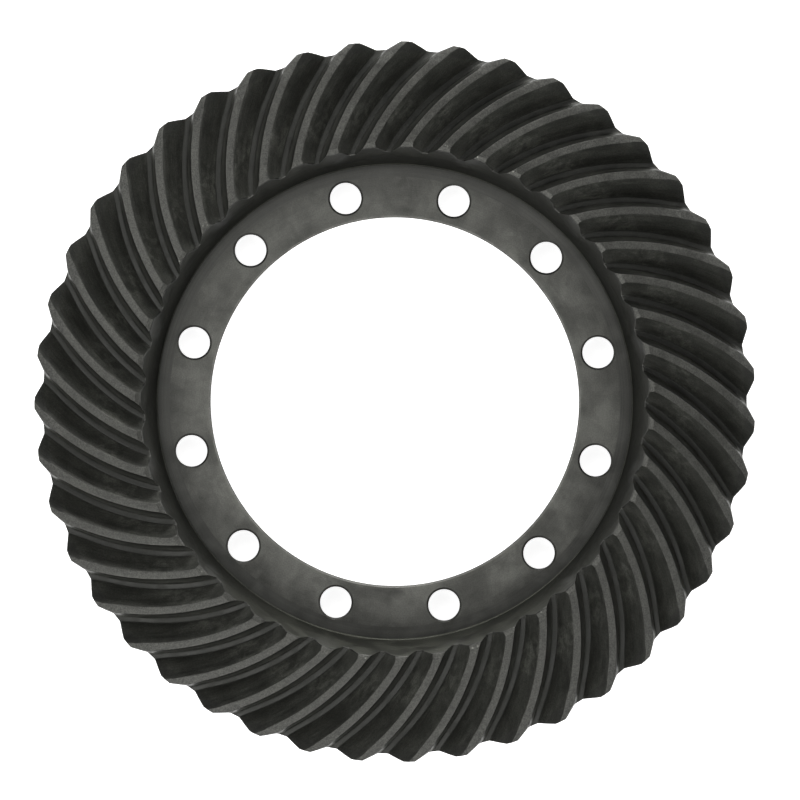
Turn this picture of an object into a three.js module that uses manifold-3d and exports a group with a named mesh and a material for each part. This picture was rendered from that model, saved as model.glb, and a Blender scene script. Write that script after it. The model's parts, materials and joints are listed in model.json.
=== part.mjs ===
// Spiral bevel ring gear of a heavy axle: one forging with a bolt flange and face teeth.
// Millimetres, +Z up. The origin is the centre of the bore in the plane of the flat back face,
// and the teeth face +Z. Angles are measured from +X, counterclockwise seen from +Z.
import * as THREE from "three";
import { mergeVertices } from "three/addons/utils/BufferGeometryUtils.js";
import Module from "manifold-3d";

// ---- ring ----
const OUTER_R = 196;
const BORE_R = 100;
const FLANGE_H = 20;
const FLANGE_R = 122.3; // the flange's flat ends here, where the relief at the wall's foot starts
const RELIEF_DEPTH = 1.2; // the relief falls this far on its way out to the wall
const WALL_FOOT_R = 129.3;
const BACK_R = 180.6; // outer edge of the flat back face
const BACK_CHAMFER = 3;
const EDGE_CHAMFER = 1; // on the bore and the bolt holes

// ---- bolt circle ----
const BOLT_COUNT = 12;
const BOLT_CIRCLE_R = 113.5;
const BOLT_HOLE_R = 8.5; // clearance for M16
const FIRST_BOLT = radians(13.6);

// ---- face and root cones ----
const FACE_R = 140.8; // inner end of the face cone, outside the toe bevel
const FACE_Z = 55;
const FACE_SLOPE = Math.tan(radians(15.5)); // both cones fall outwards
const TOE_R = 138;
const TOE_Z = 53.8;
const ROOT_R = 134.9; // inner end of the root cone
const ROOT_Z = 44.5;
const ROOT_SLOPE = Math.tan(radians(20.66));
const HEEL_BEVEL_R = 183.7; // the tops of the teeth fall more steeply outside this radius
const HEEL_BEVEL_SLOPE = Math.tan(radians(22));
const HEEL_ROOT_R = 191.1; // outer end of the root cone
const HEEL_LAND = 2.5; // height of the cylinder at the outside diameter

// ---- teeth ----
const TEETH = 43;
const MEAN_R = 163;
const FIRST_TOOTH = radians(5.985); // middle of a top land at the mean radius
const TRACE_R = 134.6; // a tooth's trace in plan is an arc of this radius
const TRACE_CENTRE_R = 134.7; // and this is how far the arc's centre is from the gear's axis
const TOP_LAND = 4; // square to the tooth
const CONVEX_RUN = 0.79; // flank's run round the gear for each millimetre of depth, at MEAN_R
const CONVEX_GAIN = 0.0052; // and how that grows with each millimetre of radius
const CONCAVE_RUN = 0.18;
const CONCAVE_GAIN = -0.0038;
const HEEL_EASE_R = 190; // both flanks are cut back at the heel outside this radius
const CONCAVE_EASE = 0.4; // per millimetre of radius
const CONVEX_EASE = 0.3;

// ---- fineness and overlap ----
const RING_STEPS = TEETH * 2;
const HOLE_STEPS = 16;
const TRACE_STEPS = 7;
const OVERLAP = 5; // how far a cutting tool runs past what it cuts

const PITCH = (2 * Math.PI) / TEETH;
const STEEL = { color: 0x2f302c, roughness: 0.5, metalness: 0.7 };

const wasm = await Module();
wasm.setup();

function radians(degrees) {
  return (degrees * Math.PI) / 180;
}

// A closed three.js geometry as a manifold-3d solid.
function solidOf(geometry) {
  const bare = geometry.clone();
  bare.deleteAttribute("normal");
  bare.deleteAttribute("uv");
  const merged = mergeVertices(bare, 1e-4);
  return new wasm.Manifold(
    new wasm.Mesh({
      numProp: 3,
      vertProperties: merged.attributes.position.array,
      triVerts: new Uint32Array(merged.index.array),
    }),
  );
}

// A manifold-3d solid as a three.js geometry.
function geometryOf(solid) {
  const { triVerts, vertProperties } = solid.getMesh();
  const geometry = new THREE.BufferGeometry();
  geometry.setAttribute("position", new THREE.BufferAttribute(vertProperties, 3));
  geometry.setIndex(new THREE.BufferAttribute(triVerts, 1));
  geometry.computeVertexNormals();
  return geometry;
}

// A ring or plug turned about +Z. The outline is [radius, height] pairs, counterclockwise.
function turned(outline, steps) {
  const points = outline.map(([radius, height]) => new THREE.Vector2(radius, height));
  return new THREE.LatheGeometry([...points, points[0]], steps).rotateX(Math.PI / 2);
}

// Heights of the two cones that bound the teeth.
const faceHeight = (r) => FACE_Z - (r - FACE_R) * FACE_SLOPE;
const rootHeight = (r) => ROOT_Z - (r - ROOT_R) * ROOT_SLOPE;

// The ring as the lathe leaves it, before its teeth and bolt holes are cut.
function blank() {
  const heelBevelZ = faceHeight(HEEL_BEVEL_R);
  const heelZ = heelBevelZ - (OUTER_R - HEEL_BEVEL_R) * HEEL_BEVEL_SLOPE;
  const coneTopZ = heelZ - HEEL_LAND;
  const heelRootZ = rootHeight(HEEL_ROOT_R);
  const coneRun = (OUTER_R - HEEL_ROOT_R) / (coneTopZ - heelRootZ);
  const sideR = BACK_R + BACK_CHAMFER;
  const coneFootZ = heelRootZ - (HEEL_ROOT_R - sideR) / coneRun;
  return turned(
    [
      [BORE_R + EDGE_CHAMFER, 0],
      [BACK_R, 0],
      [sideR, BACK_CHAMFER],
      [sideR, coneFootZ],
      [OUTER_R, coneTopZ],
      [OUTER_R, heelZ],
      [HEEL_BEVEL_R, heelBevelZ],
      [FACE_R, FACE_Z],
      [TOE_R, TOE_Z],
      [WALL_FOOT_R, FLANGE_H - RELIEF_DEPTH],
      [FLANGE_R, FLANGE_H],
      [BORE_R + EDGE_CHAMFER, FLANGE_H],
      [BORE_R, FLANGE_H - EDGE_CHAMFER],
      [BORE_R, EDGE_CHAMFER],
    ],
    RING_STEPS,
  );
}

// Angle of a tooth's trace at a radius. It turns clockwise on the way out: a right-hand spiral.
function traceAngle(r) {
  const angleAt = (radius) =>
    Math.acos((radius ** 2 + TRACE_CENTRE_R ** 2 - TRACE_R ** 2) / (2 * radius * TRACE_CENTRE_R));
  return angleAt(r) - angleAt(MEAN_R);
}

// Angle between the middle of a top land and its edge.
function halfLand(r) {
  const sine = (r ** 2 + TRACE_R ** 2 - TRACE_CENTRE_R ** 2) / (2 * r * TRACE_R);
  return TOP_LAND / 2 / (r * Math.sqrt(1 - sine ** 2));
}

// Angle of a flank from its tooth's middle, at a depth below the face cone.
function convexAngle(r, depth) {
  const run = CONVEX_RUN + (r - MEAN_R) * CONVEX_GAIN;
  const ease = Math.max(0, r - HEEL_EASE_R) * CONVEX_EASE;
  return -halfLand(r) - (depth * run - ease) / r;
}

function concaveAngle(r, depth) {
  const run = CONCAVE_RUN + (r - MEAN_R) * CONCAVE_GAIN;
  const ease = Math.max(0, r - HEEL_EASE_R) * CONCAVE_EASE;
  return halfLand(r) + (depth * run - ease) / r;
}

// Radius of a station along the tooth: even steps to the heel's ease, and one more past the heel.
function stationRadius(station) {
  const start = ROOT_R - OVERLAP;
  if (station === TRACE_STEPS) return OUTER_R + OVERLAP;
  return start + ((HEEL_EASE_R - start) * station) / (TRACE_STEPS - 1);
}

// The solid that leaves one tooth space: a box of TRACE_STEPS cells, bent along the trace. Its x
// runs across the space from the convex flank, its y along the space, and its z up.
function toothSpace() {
  const box = new THREE.BoxGeometry(1, TRACE_STEPS, 1, 1, TRACE_STEPS, 1);
  const corner = box.attributes.position;
  for (let i = 0; i < corner.count; i++) {
    const r = stationRadius(Math.round(corner.getY(i) + TRACE_STEPS / 2));
    const z = corner.getZ(i) > 0 ? FACE_Z + OVERLAP : rootHeight(r);
    const depth = faceHeight(r) - z;
    const onConvexSide = corner.getX(i) < 0;
    const flank = onConvexSide ? convexAngle(r, depth) : concaveAngle(r, depth) - PITCH;
    const turn = traceAngle(r) + flank;
    corner.setXYZ(i, r * Math.cos(turn), r * Math.sin(turn), z);
  }
  return box;
}

// The solid that leaves one bolt hole with a chamfer at each face.
function boltHole() {
  const wide = BOLT_HOLE_R + EDGE_CHAMFER + OVERLAP;
  const outline = [
    [0, -OVERLAP],
    [wide, -OVERLAP],
    [BOLT_HOLE_R, EDGE_CHAMFER],
    [BOLT_HOLE_R, FLANGE_H - EDGE_CHAMFER],
    [wide, FLANGE_H + OVERLAP],
    [0, FLANGE_H + OVERLAP],
  ];
  return turned(outline, HOLE_STEPS).translate(BOLT_CIRCLE_R, 0, 0);
}

// The solid less copies of a cutting tool, evenly spaced round the gear's axis.
function cutAround(solid, tool, count, firstAngle) {
  let rest = solid;
  for (let i = 0; i < count; i++) {
    const copy = tool.clone().rotateZ(firstAngle + (2 * Math.PI * i) / count);
    rest = rest.subtract(solidOf(copy));
  }
  return rest;
}

function ringGear() {
  const toothed = cutAround(solidOf(blank()), toothSpace(), TEETH, FIRST_TOOTH);
  const drilled = cutAround(toothed, boltHole(), BOLT_COUNT, FIRST_BOLT);
  const mesh = new THREE.Mesh(geometryOf(drilled), new THREE.MeshStandardMaterial(STEEL));
  mesh.name = "ring_gear";
  return mesh;
}

const group = new THREE.Group();
group.add(ringGear());

export default group;
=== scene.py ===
"""Looks of a spiral bevel ring gear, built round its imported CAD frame.

Metres, +Z along the gear's axis towards the teeth. One closed fine mesh stands for the CAD solid:
columns run along the teeth, rings run round the gear, and the bolt holes are cut at the end.
"""
import json
import math

import bmesh
import bpy
import numpy as np
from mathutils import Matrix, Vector


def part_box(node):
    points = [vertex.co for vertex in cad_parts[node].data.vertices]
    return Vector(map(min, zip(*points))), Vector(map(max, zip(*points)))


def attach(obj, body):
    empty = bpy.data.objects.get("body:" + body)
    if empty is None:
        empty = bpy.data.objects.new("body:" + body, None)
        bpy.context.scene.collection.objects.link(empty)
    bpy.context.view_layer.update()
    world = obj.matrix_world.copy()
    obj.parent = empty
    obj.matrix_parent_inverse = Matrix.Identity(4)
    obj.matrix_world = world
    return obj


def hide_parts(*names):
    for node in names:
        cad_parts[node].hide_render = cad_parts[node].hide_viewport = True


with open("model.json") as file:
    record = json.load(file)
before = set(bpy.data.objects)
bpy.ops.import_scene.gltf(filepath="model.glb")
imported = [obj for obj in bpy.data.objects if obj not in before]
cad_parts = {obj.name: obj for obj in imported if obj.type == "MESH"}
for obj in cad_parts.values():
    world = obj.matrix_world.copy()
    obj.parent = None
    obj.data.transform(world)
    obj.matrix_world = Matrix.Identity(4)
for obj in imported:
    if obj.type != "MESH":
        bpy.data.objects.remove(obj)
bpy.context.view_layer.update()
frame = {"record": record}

NODE = "ring_gear"
LOW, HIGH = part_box(NODE)
MOUNTS = {mount["name"]: mount["pos_m"] for mount in frame["record"]["mounts"]}
OPENINGS = frame["record"]["physics"]["openings"]

# ---- ring, from the frame ----
OUTER_R = min(HIGH.x, HIGH.y, -LOW.x, -LOW.y)
TOP_Z = HIGH.z
FLANGE_H = MOUNTS["flange_front_face"][2]

# ---- ring, as the CAD source has it ----
BORE_R = 0.100
FLANGE_R = 0.1223
RELIEF_DEPTH = 0.0012
WALL_FOOT_R = 0.1293
BACK_R = 0.1806
BACK_CHAMFER = 0.003
EDGE_CHAMFER = 0.001
BOLT_HOLE_R = 0.0085

# ---- cones, as the CAD source has them ----
FACE_R = 0.1408
FACE_SLOPE = math.tan(math.radians(15.5))
TOE_R = 0.138
TOE_Z = 0.0538
ROOT_R = 0.1349
ROOT_Z = 0.0445
ROOT_SLOPE = math.tan(math.radians(20.66))
HEEL_BEVEL_R = 0.1837
HEEL_BEVEL_SLOPE = math.tan(math.radians(22))
HEEL_ROOT_R = 0.1911
HEEL_LAND = 0.0025

# ---- teeth, as the CAD source has them ----
TEETH = 43
PITCH = 2 * math.pi / TEETH
MEAN_R = 0.163
FIRST_TOOTH = math.radians(5.985)
TRACE_R = 0.1346
TRACE_CENTRE_R = 0.1347
TOP_LAND = 0.004
CONVEX_RUN = 0.79
CONVEX_GAIN = 5.2
CONCAVE_RUN = 0.18
CONCAVE_GAIN = -3.8
HEEL_EASE_R = 0.190

# ---- fine shape that only this mesh has ----
TIP_ROUND = 0.0002  # edges of the top lands
ROOT_FILLET = 0.0011
FLANK_CROWN = 0.0001
END_ROUND = 0.0004  # where the tooth surfaces meet the inner wall and the heel
FLARE_R = 0.1455  # inside this radius the convex flank bends towards the radial
FLARE = 0.0007
FLARE_FOOT = 0.5  # share of the flare at the flank's foot
TOE_ROUND = 0.0008  # brushed edge between the convex flank and the inner wall
WALL_BAND = 0.0005  # the wall is true up to this far below its rounding
FOOT_FILLET = 0.0008  # in the corner at the inner wall's foot

HEEL_STATIONS = [0.1845, 0.1892, 0.1920, OUTER_R]
CONCAVE_EASE = [0.0, -0.0009, 0.0004, 0.0022]  # how far a flank is cut back at each of those radii
CONVEX_EASE = [0.0, 0.0006, 0.0014, 0.0016]

# ---- fineness, and where the rings of the mesh lie ----
LAND_CELLS = 2  # each side of the middle of the land
TIP_CELLS = 2
CONVEX_CELLS = 6
CONCAVE_CELLS = 4
FILLET_CELLS = 4
ROOT_CELLS = 2
FACE_STATIONS = 34
HOLE_STEPS = 64
CUTTER_REACH = 0.002  # past each face of the flange
SHARP_ANGLE = math.radians(28)  # edges that turn by more are shaded sharp
FOOT_STEPS = 4
TOE_SHARES = (0, 0.3, 0.65)
BEVEL_SHARES = (0, 0.33, 0.67)
END_SHARES = (0, 0.4, 1)
WALL_SHARES = (0.35, 0.7)
LAST_ROUND_R = HEEL_EASE_R - 0.0004  # rings of the teeth farther out follow the heel's edge
LEAST_STEP = 0.00005  # the heel's rounding starts at least this far outside it
UNDER_ROOTS = 0.003  # rings of the side are level this far under the roots
EVEN_OUT = 0.006  # and the columns are evenly spread this far under that

# ---- view and lights ----
CAMERA_DISTANCE = 20.0
VIEW_MARGIN = 1.1092
VIEW_CENTRE = (0.0028, 0.0009)
LIGHT_DISTANCE = 1.5
FLOOR_SIZE = 12.0


def face_height(r):
    return TOP_Z - (r - FACE_R) * FACE_SLOPE


def root_height(r):
    return ROOT_Z - (r - ROOT_R) * ROOT_SLOPE


def top_height(r):
    """The turned tops of the teeth, with the toe and heel bevels."""
    toe = TOP_Z + (r - FACE_R) * (TOP_Z - TOE_Z) / (FACE_R - TOE_R)
    heel = face_height(HEEL_BEVEL_R) - (r - HEEL_BEVEL_R) * HEEL_BEVEL_SLOPE
    return np.minimum(np.minimum(toe, face_height(r)), heel)


WALL_FOOT_Z = FLANGE_H - RELIEF_DEPTH
HEEL_Z = float(top_height(OUTER_R))
CONE_TOP_Z = HEEL_Z - HEEL_LAND
CONE_RUN = (OUTER_R - HEEL_ROOT_R) / (CONE_TOP_Z - root_height(HEEL_ROOT_R))
SIDE_R = BACK_R + BACK_CHAMFER
CONE_FOOT_Z = CONE_TOP_Z - (OUTER_R - SIDE_R) / CONE_RUN
LEVEL_Z = float(root_height(HEEL_ROOT_R)) - UNDER_ROOTS
EVEN_Z = LEVEL_Z - EVEN_OUT


def wall_radius(z):
    """The inner wall, which leans away from the gear's axis."""
    return TOE_R + (z - TOE_Z) * (TOE_R - WALL_FOOT_R) / (TOE_Z - WALL_FOOT_Z)


def outer_radius(z):
    """The outside of the ring above the back chamfer."""
    return np.clip(OUTER_R - (CONE_TOP_Z - z) * CONE_RUN, SIDE_R, OUTER_R)


def trace_angle(r):
    """A tooth's trace in plan is an arc. It turns clockwise on the way out."""

    def angle_at(radius):
        top = radius**2 + TRACE_CENTRE_R**2 - TRACE_R**2
        return np.arccos(top / (2 * radius * TRACE_CENTRE_R))

    return angle_at(r) - angle_at(MEAN_R)


def spiral_cosine(r):
    sine = (r**2 + TRACE_R**2 - TRACE_CENTRE_R**2) / (2 * r * TRACE_R)
    return np.sqrt(1 - sine**2)


def straight(start, end, cells, bulge=None):
    """Points from start up to, and not with, end, pushed out to a crown of height bulge."""
    share = (np.arange(cells) / cells)[None, :, None]
    points = start[:, None] * (1 - share) + end[:, None] * share
    if bulge is not None:
        points = points + bulge[:, None] * 4 * share * (1 - share)
    return points


def turn_round(before, corner, after, radius, cells):
    """The arc that rounds a corner: its points, its start and its end."""
    way_in = corner - before
    way_in /= np.linalg.norm(way_in, axis=1, keepdims=True)
    way_out = after - corner
    way_out /= np.linalg.norm(way_out, axis=1, keepdims=True)
    cross = way_in[:, 0] * way_out[:, 1] - way_in[:, 1] * way_out[:, 0]
    dot = (way_in * way_out).sum(1)
    turn = np.arctan2(np.abs(cross), dot)
    normal = np.stack([-way_in[:, 1], way_in[:, 0]], 1) * np.sign(cross)[:, None]
    cut = (radius * np.tan(turn / 2))[:, None]
    start = corner - way_in * cut
    centre = start + normal * radius
    angle = turn[:, None] * (np.arange(cells) / cells)[None, :]
    points = centre[:, None] + radius * (
        -normal[:, None] * np.cos(angle)[..., None] + way_in[:, None] * np.sin(angle)[..., None]
    )
    return points, start, corner + way_out * cut


def section(r):
    """One pitch of the toothed surface at each radius in r, from the middle of one top land
    clockwise to the next. Returns distances round the gear and heights, each len(r) by columns."""
    cosine = spiral_cosine(r)
    face, root, top = face_height(r), root_height(r), top_height(r)
    pitch = r * PITCH * cosine
    half = TOP_LAND / 2
    convex = (CONVEX_RUN + (r - MEAN_R) * CONVEX_GAIN) * cosine
    concave = (CONCAVE_RUN + (r - MEAN_R) * CONCAVE_GAIN) * cosine
    flare = FLARE * np.clip((FLARE_R - r) / (FLARE_R - TOE_R), 0, None) ** 1.5 * cosine
    eased = np.interp(r, HEEL_STATIONS, CONVEX_EASE) * cosine
    convex_edge = half + flare - eased
    convex_foot = half + flare * FLARE_FOOT - eased
    concave_edge = pitch - half + np.interp(r, HEEL_STATIONS, CONCAVE_EASE) * cosine
    corner = [
        np.stack([0 * r, top], 1),
        np.stack([convex_edge + convex * (face - top), top], 1),
        np.stack([convex_foot + convex * (face - root), root], 1),
        np.stack([concave_edge - concave * (face - root), root], 1),
        np.stack([concave_edge - concave * (face - top), top], 1),
        np.stack([pitch, top], 1),
    ]
    arcs = [
        turn_round(corner[0], corner[1], corner[2], TIP_ROUND, TIP_CELLS),
        turn_round(corner[1], corner[2], corner[3], ROOT_FILLET, FILLET_CELLS),
        turn_round(corner[2], corner[3], corner[4], ROOT_FILLET, FILLET_CELLS),
        turn_round(corner[3], corner[4], corner[5], TIP_ROUND, TIP_CELLS),
    ]
    down = corner[2] - corner[1]
    outward = np.stack([-down[:, 1], down[:, 0]], 1)
    outward *= FLANK_CROWN / np.linalg.norm(outward, axis=1, keepdims=True)
    points = np.concatenate(
        [
            straight(corner[0], arcs[0][1], LAND_CELLS),
            arcs[0][0],
            straight(arcs[0][2], arcs[1][1], CONVEX_CELLS, outward),
            arcs[1][0],
            straight(arcs[1][2], arcs[2][1], ROOT_CELLS),
            arcs[2][0],
            straight(arcs[2][2], arcs[3][1], CONCAVE_CELLS),
            arcs[3][0],
            straight(arcs[3][2], corner[5], LAND_CELLS),
        ],
        axis=1,
    )
    return points[..., 0] / cosine[:, None], points[..., 1]


COLUMNS = section(np.array([MEAN_R]))[0].shape[1]
EVERY = np.arange(COLUMNS)


def on_columns(radii):
    """The point of each column at its own radius: angle, radius and height."""
    run, height = section(radii)
    run, height = run[EVERY, EVERY], height[EVERY, EVERY]
    return np.stack([trace_angle(radii) - run / radii, radii, height], 1)


def where_columns_meet(profile, low, high):
    """The radius at which each column crosses a surface of revolution, by halving."""
    low = np.full(COLUMNS, low)
    high = np.full(COLUMNS, high)
    for _ in range(30):
        middle = (low + high) / 2
        inside = middle < profile(on_columns(middle)[:, 2])
        low = np.where(inside, middle, low)
        high = np.where(inside, high, middle)
    return (low + high) / 2


def rounded_end(edge, on_tooth, on_side):
    """The ring that rounds the edge between the teeth and a side of the blank."""
    return (on_tooth + 2 * edge + on_side) / 4


def side_ring(edge, height, radius_at):
    """The edge's columns moved down a side of the blank to a height of each one's own."""
    return np.stack([edge[:, 0], radius_at(height), height], 1)


def level_ring(angles, radius, height):
    """A ring of one radius and one height."""
    return np.stack([angles, np.full(COLUMNS, radius), np.full(COLUMNS, height)], 1)


def toe_rounding():
    """How far the rounding reaches at the toe: wide in the middle of the convex flank."""
    start = LAND_CELLS + TIP_CELLS
    share = np.clip((EVERY - start) / (CONVEX_CELLS + FILLET_CELLS), 0, 1)
    return END_ROUND + (TOE_ROUND - END_ROUND) * np.sin(share * math.pi) ** 2


def even_angles(angles):
    """The columns spread evenly over one pitch, for the plain parts of the ring."""
    return angles[0] - PITCH * EVERY / COLUMNS


def foot_corner():
    """The fillet at the wall's foot, as radii and heights from the relief up to the wall."""
    before = np.array([[FLANGE_R, FLANGE_H]])
    corner = np.array([[WALL_FOOT_R, WALL_FOOT_Z]])
    after = np.array([[TOE_R, TOE_Z]])
    arc, _, end = turn_round(before, corner, after, FOOT_FILLET, FOOT_STEPS)
    return [*arc[0], end[0]]


def teeth_rings(inner, heel):
    """Out over the teeth, from their inner ends to the heels."""
    last = np.maximum(heel - END_ROUND, LAST_ROUND_R + LEAST_STEP)
    face_shares = np.arange(FACE_STATIONS) / FACE_STATIONS
    spans = [
        (inner, FACE_R, TOE_SHARES, "teeth"),
        (FACE_R, HEEL_BEVEL_R, face_shares, "teeth"),
        (HEEL_BEVEL_R, LAST_ROUND_R, BEVEL_SHARES, "heel"),
        (LAST_ROUND_R, last, END_SHARES, "heel"),
    ]
    found = []
    for start, end, shares, surface in spans:
        for share in shares:
            radii = np.full(COLUMNS, start + (end - start) * share)
            found.append((on_columns(radii), surface))
    return found


def outside_rings(edge, last_on_teeth):
    """Down the outside: the heels' rounding, the cone behind them, the cylinder and its chamfer."""
    angles = even_angles(edge[:, 0])
    low_edge = side_ring(edge, edge[:, 2] - END_ROUND, outer_radius)
    cone_top = np.minimum(low_edge[:, 2], CONE_TOP_Z)
    return [
        (rounded_end(edge, last_on_teeth, low_edge), "heel"),
        (low_edge, "side"),
        (side_ring(edge, cone_top, outer_radius), "side"),
        (side_ring(edge, (cone_top + LEVEL_Z) / 2, outer_radius), "side"),
        (level_ring(edge[:, 0], outer_radius(LEVEL_Z), LEVEL_Z), "side"),
        (level_ring(angles, outer_radius(EVEN_Z), EVEN_Z), "side"),
        (level_ring(angles, SIDE_R, CONE_FOOT_Z), "side"),
        (level_ring(angles, SIDE_R, BACK_CHAMFER), "side"),
        (level_ring(angles, BACK_R, 0.0), "back"),
    ]


def bore_rings(edge):
    """Up the bore, and out over the flange to the edge of the relief."""
    angles = even_angles(edge[:, 0])
    return [
        (level_ring(angles, BORE_R + EDGE_CHAMFER, 0.0), "bore"),
        (level_ring(angles, BORE_R, EDGE_CHAMFER), "bore"),
        (level_ring(angles, BORE_R, FLANGE_H - EDGE_CHAMFER), "bore"),
        (level_ring(angles, BORE_R + EDGE_CHAMFER, FLANGE_H), "flange"),
        (level_ring(angles, FLANGE_R, FLANGE_H), "relief"),
    ]


def wall_rings(edge, cut, first_on_teeth):
    """Up the inner wall, from the fillet at its foot to the rounding at the toes."""
    angles = even_angles(edge[:, 0])
    corner = foot_corner()
    foot_z = corner[-1][1]
    top = side_ring(edge, edge[:, 2] - cut, wall_radius)
    heights = [foot_z + (top[:, 2] - foot_z) * share for share in WALL_SHARES]
    heights.append(top[:, 2] - WALL_BAND)
    return [
        *((level_ring(angles, radius, height), "wall") for radius, height in corner),
        *((side_ring(edge, height, wall_radius), "wall") for height in heights),
        (top, "edge"),
        (rounded_end(edge, first_on_teeth, top), "edge"),
    ]


def rings():
    """All the rings of one pitch in order, out over the teeth and back through the bore, with the
    name of the surface between each ring and the next."""
    toe = where_columns_meet(wall_radius, WALL_FOOT_R, FACE_R)
    heel = where_columns_meet(outer_radius, HEEL_BEVEL_R, OUTER_R)
    toe_edge, heel_edge = on_columns(toe), on_columns(heel)
    toe_cut = toe_rounding()
    teeth = teeth_rings(toe + toe_cut, heel)
    outside = outside_rings(heel_edge, teeth[-1][0])
    wall = wall_rings(toe_edge, toe_cut, teeth[0][0])
    return teeth + outside + bore_rings(toe_edge) + wall


SURFACES = ["land", "convex", "root", "concave", "heel", "side"]
SURFACES += ["back", "bore", "flange", "relief", "wall", "edge"]


def column_surfaces():
    """The name of the toothed surface between each column and the next."""
    half_land = ["land"] * (LAND_CELLS + TIP_CELLS)
    convex = ["convex"] * CONVEX_CELLS
    root = ["root"] * (FILLET_CELLS + ROOT_CELLS + FILLET_CELLS)
    concave = ["concave"] * CONCAVE_CELLS
    return half_land + convex + root + concave + half_land


def cell_surface(along, across):
    """The surface of a cell, from its ring's name and its column's name."""
    if along == "teeth" or (along == "heel" and across != "land"):
        return across
    return along


def ring_mesh():
    """The whole closed ring as one mesh, with a material index for each surface."""
    loops = rings()
    count = TEETH * COLUMNS
    turn = FIRST_TOOTH - PITCH * np.arange(TEETH)[:, None]
    verts, faces, surface = [], [], []
    for j, (ring, along) in enumerate(loops):
        angle = (ring[None, :, 0] + turn).ravel()
        radius = np.tile(ring[:, 1], TEETH)
        height = np.tile(ring[:, 2], TEETH)
        verts.append(np.stack([radius * np.cos(angle), radius * np.sin(angle), height], 1))
        here, there = j * count, (j + 1) % len(loops) * count
        for i in range(count):
            after = (i + 1) % count
            faces.append((here + i, here + after, there + after, there + i))
        pitch = [SURFACES.index(cell_surface(along, across)) for across in column_surfaces()]
        surface += pitch * TEETH
    mesh = bpy.data.meshes.new("ring_gear_fine")
    mesh.from_pydata(np.concatenate(verts).tolist(), [], faces)
    mesh.polygons.foreach_set("material_index", surface)
    return mesh


def tidy_mesh(mesh):
    """Merges the points that fall together below the heel's cylinder."""
    work = bmesh.new()
    work.from_mesh(mesh)
    bmesh.ops.remove_doubles(work, verts=work.verts, dist=1e-6)
    bmesh.ops.dissolve_degenerate(work, edges=work.edges, dist=1e-6)
    work.to_mesh(mesh)
    work.free()


def hole_cutter():
    """The solid that leaves all the bolt holes, with a chamfer at each face."""
    wide = BOLT_HOLE_R + EDGE_CHAMFER + CUTTER_REACH
    profile = [
        (wide, -CUTTER_REACH),
        (BOLT_HOLE_R, EDGE_CHAMFER),
        (BOLT_HOLE_R, FLANGE_H - EDGE_CHAMFER),
        (wide, FLANGE_H + CUTTER_REACH),
    ]
    work = bmesh.new()
    for opening in OPENINGS:
        if not opening["name"].startswith("bolt_hole"):
            continue
        low, high = opening["box_m"]
        x, y = (low[0] + high[0]) / 2, (low[1] + high[1]) / 2
        loops = []
        for radius, height in profile:
            steps = [2 * math.pi * i / HOLE_STEPS for i in range(HOLE_STEPS)]
            spots = [(x + radius * math.cos(a), y + radius * math.sin(a), height) for a in steps]
            loops.append([work.verts.new(spot) for spot in spots])
        for below, above in zip(loops, loops[1:]):
            for i in range(HOLE_STEPS):
                j = (i + 1) % HOLE_STEPS
                work.faces.new((below[i], below[j], above[j], above[i]))
        work.faces.new(loops[0][::-1])
        work.faces.new(loops[-1])
    mesh = bpy.data.meshes.new("bolt_hole_cutter")
    work.to_mesh(mesh)
    work.free()
    return mesh


def link(name, data):
    thing = bpy.data.objects.new(name, data)
    bpy.context.scene.collection.objects.link(thing)
    return thing


def apply_modifiers(thing):
    """Gives an object the mesh that its modifiers make, and takes them off."""
    depsgraph = bpy.context.evaluated_depsgraph_get()
    mesh = bpy.data.meshes.new_from_object(thing.evaluated_get(depsgraph))
    thing.modifiers.clear()
    thing.data = mesh


def ring_gear(materials):
    """The finished gear: the ring with its bolt holes cut and its materials on."""
    mesh = ring_mesh()
    tidy_mesh(mesh)
    gear = link("ring_gear_fine", mesh)
    for name in SURFACES:
        mesh.materials.append(materials[name])
    cutter = link("bolt_hole_cutter", hole_cutter())
    cutter.data.materials.append(materials["bore"])
    cut = gear.modifiers.new("bolt_holes", "BOOLEAN")
    cut.operation = "DIFFERENCE"
    cut.solver = "MANIFOLD"
    cut.object = cutter
    cut.material_mode = "TRANSFER"
    apply_modifiers(gear)
    bpy.data.objects.remove(cutter)
    gear.data.shade_smooth()
    gear.data.set_sharp_from_angle(angle=SHARP_ANGLE)
    return gear


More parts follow.
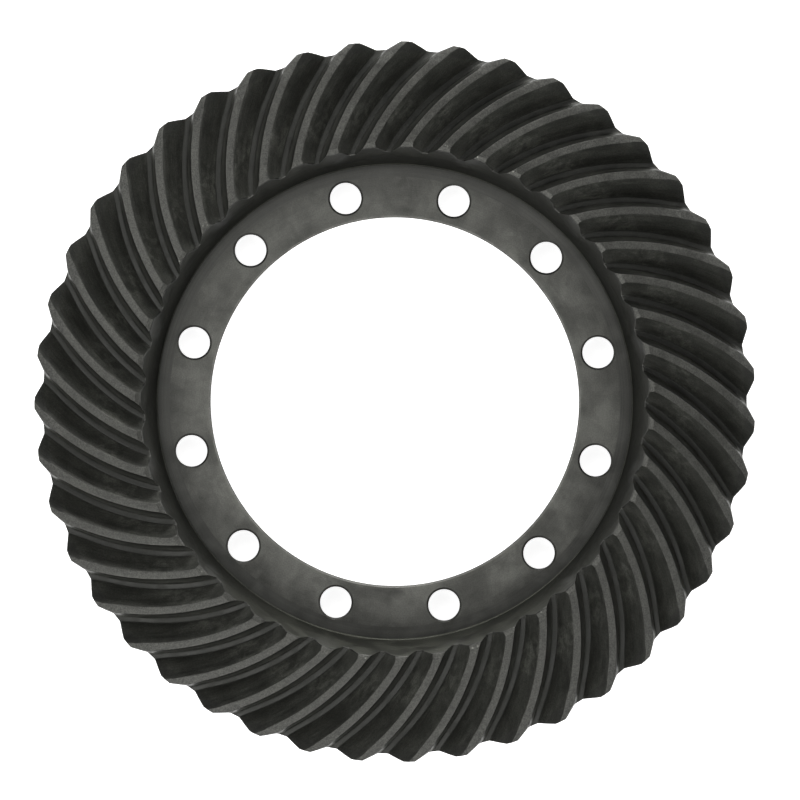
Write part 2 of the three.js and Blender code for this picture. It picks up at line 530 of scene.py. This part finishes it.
# ---- materials ----
class Steel:
    """A steel surface in the making. Its patterns are sockets, most with values about 1."""

    def __init__(self, name):
        self.material = bpy.data.materials.new(name)
        self.material.use_nodes = True
        self.tree = self.material.node_tree
        self.place = self.add("ShaderNodeTexCoord").outputs["Object"]
        self.x, self.y, self.z = self.add("ShaderNodeSeparateXYZ", Vector=self.place).outputs
        squares = [self.maths("MULTIPLY", axis, axis) for axis in (self.x, self.y)]
        self.radius = self.maths("SQRT", self.maths("ADD", *squares))

    def add(self, kind, settings=None, **values):
        node = self.tree.nodes.new(kind)
        for name, setting in (settings or {}).items():
            setattr(node, name, setting)
        for name, value in values.items():
            self.feed(node.inputs[name.replace("_", " ")], value)
        return node

    def feed(self, socket, value):
        if isinstance(value, bpy.types.NodeSocket):
            self.tree.links.new(value, socket)
        else:
            socket.default_value = value

    def maths(self, operation, *terms):
        node = self.add("ShaderNodeMath", {"operation": operation})
        for socket, term in zip(node.inputs, terms):
            self.feed(socket, term)
        return node.outputs[0]

    def times(self, *factors):
        product = factors[0]
        for factor in factors[1:]:
            product = self.maths("MULTIPLY", product, factor)
        return product

    def between(self, value, start, end, low, high):
        """low at start, high at end, and held outside them."""
        values = {"From_Min": start, "From_Max": end, "To_Min": low, "To_Max": high}
        settings = {"interpolation_type": "SMOOTHSTEP"}
        return self.add("ShaderNodeMapRange", settings, Value=value, **values).outputs["Result"]

    def noise(self, place, scale, seed, detail=3, distortion=0):
        settings = {"noise_dimensions": "4D"}
        values = {"Vector": place, "W": seed, "Scale": scale}
        values |= {"Detail": detail, "Distortion": distortion}
        return self.add("ShaderNodeTexNoise", settings, **values).outputs["Fac"]

    def clouds(self, scale, low, high, seed):
        """Soft stains."""
        return self.between(self.noise(self.place, scale, seed, 4, 0.8), 0.34, 0.66, low, high)

    def patches(self, scale, level, high, seed):
        """Smears with a clear edge, where the noise is above a level."""
        value = self.noise(self.place, scale, seed, 3, 1.2)
        return self.between(value, level, level + 0.05, 1, high)

    def grain(self, scale, low, high, seed):
        return self.between(self.noise(self.place, scale, seed, 2), 0.3, 0.7, low, high)

    def turning(self, along, fineness, low, high, seed):
        """Turning marks: rings round the gear's axis, in steps along a radius or a height."""
        values = {
            "X": self.times(self.x, 9),
            "Y": self.times(self.y, 9),
            "Z": self.times(along, fineness),
        }
        place = self.add("ShaderNodeCombineXYZ", **values).outputs[0]
        return self.between(self.noise(place, 1, seed, 4), 0.3, 0.7, low, high)

    def depth(self):
        """Depth below the cone that bounds the tops of the teeth."""
        fall = self.times(self.maths("SUBTRACT", self.radius, FACE_R), FACE_SLOPE)
        return self.maths("SUBTRACT", self.maths("SUBTRACT", TOP_Z, fall), self.z)

    def rise(self):
        """Height above the cone of the tooth roots."""
        fall = self.times(self.maths("SUBTRACT", self.radius, ROOT_R), ROOT_SLOPE)
        return self.maths("SUBTRACT", self.z, self.maths("SUBTRACT", ROOT_Z, fall))

    def tooth_phase(self):
        """Angle across the teeth: 2 pi from one to the next, the same all along a tooth."""
        square = self.maths("MULTIPLY", self.radius, self.radius)
        top = self.maths("ADD", square, TRACE_CENTRE_R**2 - TRACE_R**2)
        cosine = self.maths("DIVIDE", top, self.times(self.radius, 2 * TRACE_CENTRE_R))
        trace = self.maths("ARCCOSINE", cosine)
        angle = self.maths("ARCTAN2", self.y, self.x)
        return self.times(self.maths("SUBTRACT", angle, trace), TEETH)

    def streaks(self, across, along, low, high, seed):
        """Cutting and lapping marks that run along the teeth."""
        phase = self.tooth_phase()
        values = {
            "X": self.times(self.maths("COSINE", phase), across),
            "Y": self.times(self.maths("SINE", phase), across),
            "Z": self.times(self.radius, along),
        }
        place = self.add("ShaderNodeCombineXYZ", **values).outputs[0]
        spread = self.maths("ADD", self.times(self.x, 70), self.times(self.y, 110))
        value = self.noise(place, 1, self.maths("ADD", spread, seed), 4)
        return self.between(value, 0.32, 0.68, low, high)

    def painted_glints(self, scale, size, high, seed):
        """Painted glints: small bright spots that stand for highlights on nicks, each at a random
        place in a cell: high on the few spots and 0 elsewhere.
        """
        where = self.add("ShaderNodeTexVoronoi", Vector=self.place, Scale=scale)
        rare = self.between(self.noise(self.place, scale / 6, seed), 0.55, 0.6, 0, high)
        return self.times(rare, self.between(where.outputs["Distance"], size / 2, size, 1, 0))

    def finish(self, colour, tones, roughness, heights, metallic=0.6):
        """Colour times all the tones, roughness, and a bump from (pattern, metres) pairs."""
        shader = self.tree.nodes["Principled BSDF"]
        tone = self.times(*tones)
        scaled = self.add("ShaderNodeVectorMath", {"operation": "SCALE"}, Vector=colour, Scale=tone)
        self.feed(shader.inputs["Base Color"], scaled.outputs[0])
        self.feed(shader.inputs["Roughness"], roughness)
        self.feed(shader.inputs["Metallic"], metallic)
        height = self.times(*heights[0])
        for pair in heights[1:]:
            height = self.maths("ADD", height, self.times(*pair))
        bump = self.add("ShaderNodeBump", Height=height, Distance=1.0, Strength=1.0)
        self.feed(shader.inputs["Normal"], bump.outputs[0])
        return self.material


def land_steel():
    """Tops of the teeth: turned, with a fine grain, painted glints at the toe and a painted
    highlight on the toe bevel.
    """
    steel = Steel("land_steel")
    grain = steel.grain(1300, 0.6, 1.42, 1)
    stains = steel.clouds(90, 0.86, 1.15, 2)
    rings = steel.turning(steel.radius, 3000, 0.93, 1.07, 3)
    toe = steel.between(steel.radius, FACE_R, FACE_R + 0.004, 1, 0)
    # Painted glints: a few small spots near the toe are made up to 2.8 times lighter, standing for
    # highlights on nicks.
    painted_glints = steel.maths("ADD", 1, steel.times(toe, steel.painted_glints(420, 0.3, 1.8, 4)))
    roughness = steel.between(stains, 0.86, 1.15, 0.42, 0.52)
    # Painted highlight: the slanted toe bevel is made 1.2 times lighter, for the light that the
    # facet catches.
    toe_bevel_highlight = steel.between(steel.radius, FACE_R - 0.0004, FACE_R, 1.2, 1)
    tones = [grain, stains, rings, painted_glints, toe_bevel_highlight]
    heights = [(grain, 1.2e-5), (rings, 8e-6)]
    return steel.finish((0.0522, 0.0524, 0.0468), tones, roughness, heights)


def heel_steel():
    """The bevelled outer ends of the teeth's tops."""
    steel = Steel("heel_steel")
    grain = steel.grain(1200, 0.56, 1.46, 5)
    stains = steel.clouds(120, 0.82, 1.15, 6)
    rings = steel.turning(steel.radius, 2400, 0.92, 1.08, 7)
    roughness = steel.between(stains, 0.82, 1.15, 0.5, 0.62)
    heights = [(grain, 1e-5), (rings, 8e-6)]
    return steel.finish((0.0585, 0.0588, 0.053), [grain, stains, rings], roughness, heights)


def flank_steel(name, tip_painted_shade, foot_painted_light, where_worn, seed):
    """A flank of the teeth: dark, lapped along the tooth, with a worn patch towards the toe,
    painted shade near the tops and the heel, and painted light towards the foot.
    """
    steel = Steel(name)
    streaks = steel.streaks(9, 60, 0.8, 1.22, seed)
    fine = steel.streaks(34, 160, 0.84, 1.18, seed + 1)
    stains = steel.clouds(70, 0.82, 1.16, seed + 2)
    grain = steel.grain(1200, 0.74, 1.28, seed + 3)
    near_toe = steel.between(steel.radius, ROOT_R + 0.004, ROOT_R + 0.02, 0, 1)
    towards_heel = steel.between(steel.radius, ROOT_R + 0.02, ROOT_R + 0.04, 1, 0)
    worn = steel.times(near_toe, towards_heel, steel.clouds(190, 0, 1, seed + 4))
    contact = steel.between(worn, 0, 1, 0.95, where_worn)
    # Painted shade and light: the flank is darker near the tops of the teeth and lighter towards
    # its foot, to set how light falls down the tooth space.
    depth = steel.between(steel.depth(), 0.0005, 0.013, tip_painted_shade, foot_painted_light)
    # Painted shade: the flanks are darkened to 0.6 towards the heel to hold back a highlight there;
    # the roughness is raised there too.
    heel_shade_level = 0.6
    painted_heel_shade = steel.between(steel.radius, HEEL_EASE_R - 0.002, HEEL_EASE_R + 0.001, 1, heel_shade_level)
    lapped = steel.between(streaks, 0.8, 1.22, 0.38, 0.52)
    roughness = steel.maths("ADD", lapped, steel.between(painted_heel_shade, 1, heel_shade_level, 0, 0.2))
    tones = [streaks, fine, stains, grain, contact, depth, painted_heel_shade]
    heights = [(streaks, 2.5e-5), (fine, 1e-5), (grain, 8e-6)]
    return steel.finish((0.052, 0.053, 0.0462), tones, roughness, heights)


def root_steel():
    """Floors of the tooth spaces: as cut, with an oily olive cast, and painted light that makes
    them up to 3.4 times lighter up the fillets into the flanks.
    """
    steel = Steel("root_steel")
    streaks = steel.streaks(14, 90, 0.85, 1.18, 13)
    stains = steel.clouds(80, 0.82, 1.15, 14)
    grain = steel.grain(1600, 0.84, 1.18, 15)
    # Painted light: the root fillets are made lighter as they rise towards the flanks, to widen the
    # lit band along the tooth space.
    painted_fillet_light = steel.between(steel.rise(), 0, 0.0008, 1, 3.4)
    roughness = steel.between(stains, 0.82, 1.15, 0.4, 0.54)
    tones = [streaks, stains, grain, painted_fillet_light]
    heights = [(streaks, 2e-5), (grain, 1e-5)]
    return steel.finish((0.0255, 0.026, 0.0227), tones, roughness, heights)


def side_steel():
    """The outside of the ring: turned, then darkened in the furnace."""
    steel = Steel("side_steel")
    turning = steel.turning(steel.z, 1600, 0.86, 1.14, 16)
    stains = steel.clouds(60, 0.86, 1.13, 17)
    grain = steel.grain(1500, 0.9, 1.1, 18)
    roughness = steel.between(stains, 0.86, 1.13, 0.42, 0.54)
    heights = [(turning, 2e-5), (grain, 8e-6)]
    return steel.finish((0.058, 0.058, 0.053), [turning, stains, grain], roughness, heights)


def back_steel():
    """The ground back face."""
    steel = Steel("back_steel")
    rings = steel.turning(steel.radius, 1300, 0.84, 1.16, 19)
    stains = steel.clouds(45, 0.92, 1.08, 20)
    smears = steel.patches(28, 0.6, 1.08, 21)
    roughness = steel.between(stains, 0.92, 1.08, 0.36, 0.46)
    heights = [(rings, 1e-5), (stains, 1e-5)]
    return steel.finish((0.095, 0.095, 0.088), [rings, stains, smears], roughness, heights)


def bore_steel():
    """The bore and the bolt holes, with a painted highlight that makes the bore's chamfers lighter.
    """
    steel = Steel("bore_steel")
    grain = steel.grain(900, 0.85, 1.15, 22)
    stains = steel.clouds(110, 0.8, 1.2, 23)
    # Painted highlight: the bore's chamfers are made up to 2.6 times lighter, for the light that
    # the slanted edge catches.
    chamfer = steel.between(steel.radius, BORE_R, BORE_R + EDGE_CHAMFER / 2, 0, 1.6)
    inside = steel.between(steel.radius, BORE_R + 2 * EDGE_CHAMFER, BORE_R + 3 * EDGE_CHAMFER, 1, 0)
    chamfer_highlight = steel.maths("ADD", 1, steel.times(chamfer, inside))
    roughness = steel.between(stains, 0.8, 1.2, 0.4, 0.55)
    heights = [(grain, 1.2e-5), (stains, 1e-5)]
    return steel.finish((0.055, 0.055, 0.05), [grain, stains, chamfer_highlight], roughness, heights)


def flange_steel():
    """The bolt flange: a satin turned face with stains and wiped smears, a painted highlight by the
    bore and painted shade towards the inner wall.
    """
    steel = Steel("flange_steel")
    stains = steel.clouds(42, 0.8, 1.16, 24)
    small_stains = steel.clouds(150, 0.92, 1.08, 25)
    smears = steel.patches(36, 0.57, 1.14, 26)
    dark_smears = steel.patches(30, 0.6, 0.84, 27)
    rings = steel.turning(steel.radius, 1800, 0.95, 1.05, 28)
    grain = steel.grain(1400, 0.88, 1.13, 29)
    # Painted highlight: the flange is made 1.12 times lighter next to the bore's rim.
    rim_highlight = steel.between(steel.radius, BORE_R + 0.0012, BORE_R + 0.0035, 1.12, 1)
    # Painted shade: the flange darkens to 0.8 over its last 14 mm towards the inner wall, where the
    # wall shades it.
    edge = steel.between(steel.radius, FLANGE_R - 0.014, FLANGE_R, 1, 0.8)
    roughness = steel.between(stains, 0.8, 1.16, 0.4, 0.52)
    tones = [stains, small_stains, smears, dark_smears, rings, grain, rim_highlight, edge]
    heights = [(rings, 1e-5), (grain, 8e-6), (stains, 2e-5)]
    return steel.finish((0.1025, 0.103, 0.093), tones, roughness, heights)


def relief_steel():
    """The relief between the flange and the inner wall, with painted shade towards the wall's foot.
    """
    steel = Steel("relief_steel")
    rings = steel.turning(steel.radius, 1500, 0.9, 1.1, 30)
    stains = steel.clouds(60, 0.86, 1.12, 31)
    grain = steel.grain(1400, 0.94, 1.06, 32)
    # Painted shade: the relief darkens to 0.72 in the corner at the wall's foot.
    painted_foot_shade = steel.between(steel.radius, WALL_FOOT_R - 0.0035, WALL_FOOT_R - 0.0005, 1.04, 0.72)
    roughness = steel.between(stains, 0.86, 1.12, 0.42, 0.52)
    heights = [(rings, 2e-5), (grain, 8e-6)]
    return steel.finish((0.073, 0.0733, 0.067), [rings, stains, grain, painted_foot_shade], roughness, heights)


def wall_steel():
    """The inner wall under the teeth: dark, turned, with oily stains, and painted lighter on the -Y
    side, as if light fell on it there.
    """
    steel = Steel("wall_steel")
    turning = steel.turning(steel.z, 1300, 0.88, 1.12, 33)
    stains = steel.clouds(70, 0.8, 1.16, 34)
    grain = steel.grain(1500, 0.84, 1.18, 35)
    roughness = steel.between(stains, 0.8, 1.16, 0.38, 0.52)
    heights = [(turning, 1.5e-5), (grain, 8e-6)]
    # Painted light: the wall on the -Y side is made up to 2.6 times lighter, with a stained, uneven
    # boundary.
    uneven = steel.maths("ADD", steel.y, steel.between(stains, 0.8, 1.16, -0.012, 0.012))
    painted_lit_side = steel.between(uneven, -0.072, -0.118, 1, 2.6)
    tones = [turning, stains, grain, painted_lit_side]
    return steel.finish((0.027, 0.0278, 0.023), tones, roughness, heights, metallic=0.85)


def edge_steel():
    """The brushed edge between the tooth surfaces and the inner wall, bright where it is worn."""
    steel = Steel("edge_steel")
    worn = steel.clouds(130, 0.5, 2.1, 36)
    grain = steel.grain(1300, 0.8, 1.22, 37)
    roughness = steel.between(worn, 0.5, 2.1, 0.5, 0.38)
    heights = [(grain, 1e-5), (worn, 5e-6)]
    return steel.finish((0.036, 0.0363, 0.0325), [worn, grain], roughness, heights)


def gear_materials():
    return {
        "land": land_steel(),
        # The second and third numbers of each flank are its painted shade near the tops and its
        # painted light at the foot.
        "convex": flank_steel("convex_steel", 0.82, 1.4, 1.75, 40),
        "root": root_steel(),
        "concave": flank_steel("concave_steel", 0.38, 1.5, 1.3, 50),
        "heel": heel_steel(),
        "side": side_steel(),
        "back": back_steel(),
        "bore": bore_steel(),
        "flange": flange_steel(),
        "relief": relief_steel(),
        "wall": wall_steel(),
        "edge": edge_steel(),
    }


def floor_paint():
    """Pale board, lit from inside like a light table."""
    material = bpy.data.materials.new("pale_board")
    material.use_nodes = True
    shader = material.node_tree.nodes["Principled BSDF"]
    shader.inputs["Base Color"].default_value = (0.85, 0.85, 0.85, 1)
    shader.inputs["Roughness"].default_value = 0.8
    shader.inputs["Emission Color"].default_value = (1, 1, 1, 1)
    shader.inputs["Emission Strength"].default_value = 0.9
    return material


# ---- stage ----
def floor():
    """The pale plane that the gear's back lies on."""
    work = bmesh.new()
    bmesh.ops.create_grid(work, x_segments=1, y_segments=1, size=FLOOR_SIZE / 2)
    mesh = bpy.data.meshes.new("floor")
    work.to_mesh(mesh)
    work.free()
    thing = link("floor", mesh)
    thing.data.materials.append(floor_paint())


def soft_light(name, azimuth, elevation, size, power):
    """A square light aimed at the gear, at an azimuth from +X and an elevation."""
    data = bpy.data.lights.new(name, "AREA")
    data.size = size
    data.energy = power
    thing = link(name, data)
    level, around = math.radians(elevation), math.radians(azimuth)
    flat = math.cos(level)
    aim = Vector((flat * math.cos(around), flat * math.sin(around), math.sin(level)))
    thing.location = LIGHT_DISTANCE * aim + Vector((0, 0, TOP_Z))
    thing.rotation_euler = (-aim).to_track_quat("-Z", "Y").to_euler()
    thing.visible_camera = False


def studio():
    """Soft lights all round the gear, low and high, and a faint even glow."""
    world = bpy.data.worlds.new("studio")
    world.use_nodes = True
    world.node_tree.nodes["Background"].inputs["Color"].default_value = (1, 1, 1, 1)
    world.node_tree.nodes["Background"].inputs["Strength"].default_value = 0.02
    bpy.context.scene.world = world
    soft_light("low_right", 25, 15, 0.8, 8)
    soft_light("low_back", 88, 14, 0.8, 17)
    soft_light("high_right", 45, 62, 0.9, 2.5)
    soft_light("high_left", 135, 62, 0.9, 5.5)
    soft_light("side_left", 160, 40, 0.9, 6)
    soft_light("front_left", 225, 40, 0.9, 10.5)
    soft_light("front", 275, 40, 0.9, 7.5)
    soft_light("front_right", 320, 40, 0.9, 5)
    bpy.context.scene.view_settings.view_transform = "Standard"


def camera():
    """Looks straight down the gear's axis from far off."""
    frame_width = 2 * OUTER_R * VIEW_MARGIN
    data = bpy.data.cameras.new("camera")
    data.lens = data.sensor_width * CAMERA_DISTANCE / frame_width
    data.clip_end = 2 * CAMERA_DISTANCE
    thing = link("camera", data)
    thing.location = (*VIEW_CENTRE, HEEL_Z + CAMERA_DISTANCE)
    bpy.context.scene.camera = thing


camera()
studio()
floor()
gear = ring_gear(gear_materials())
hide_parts(NODE)
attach(gear, "root")
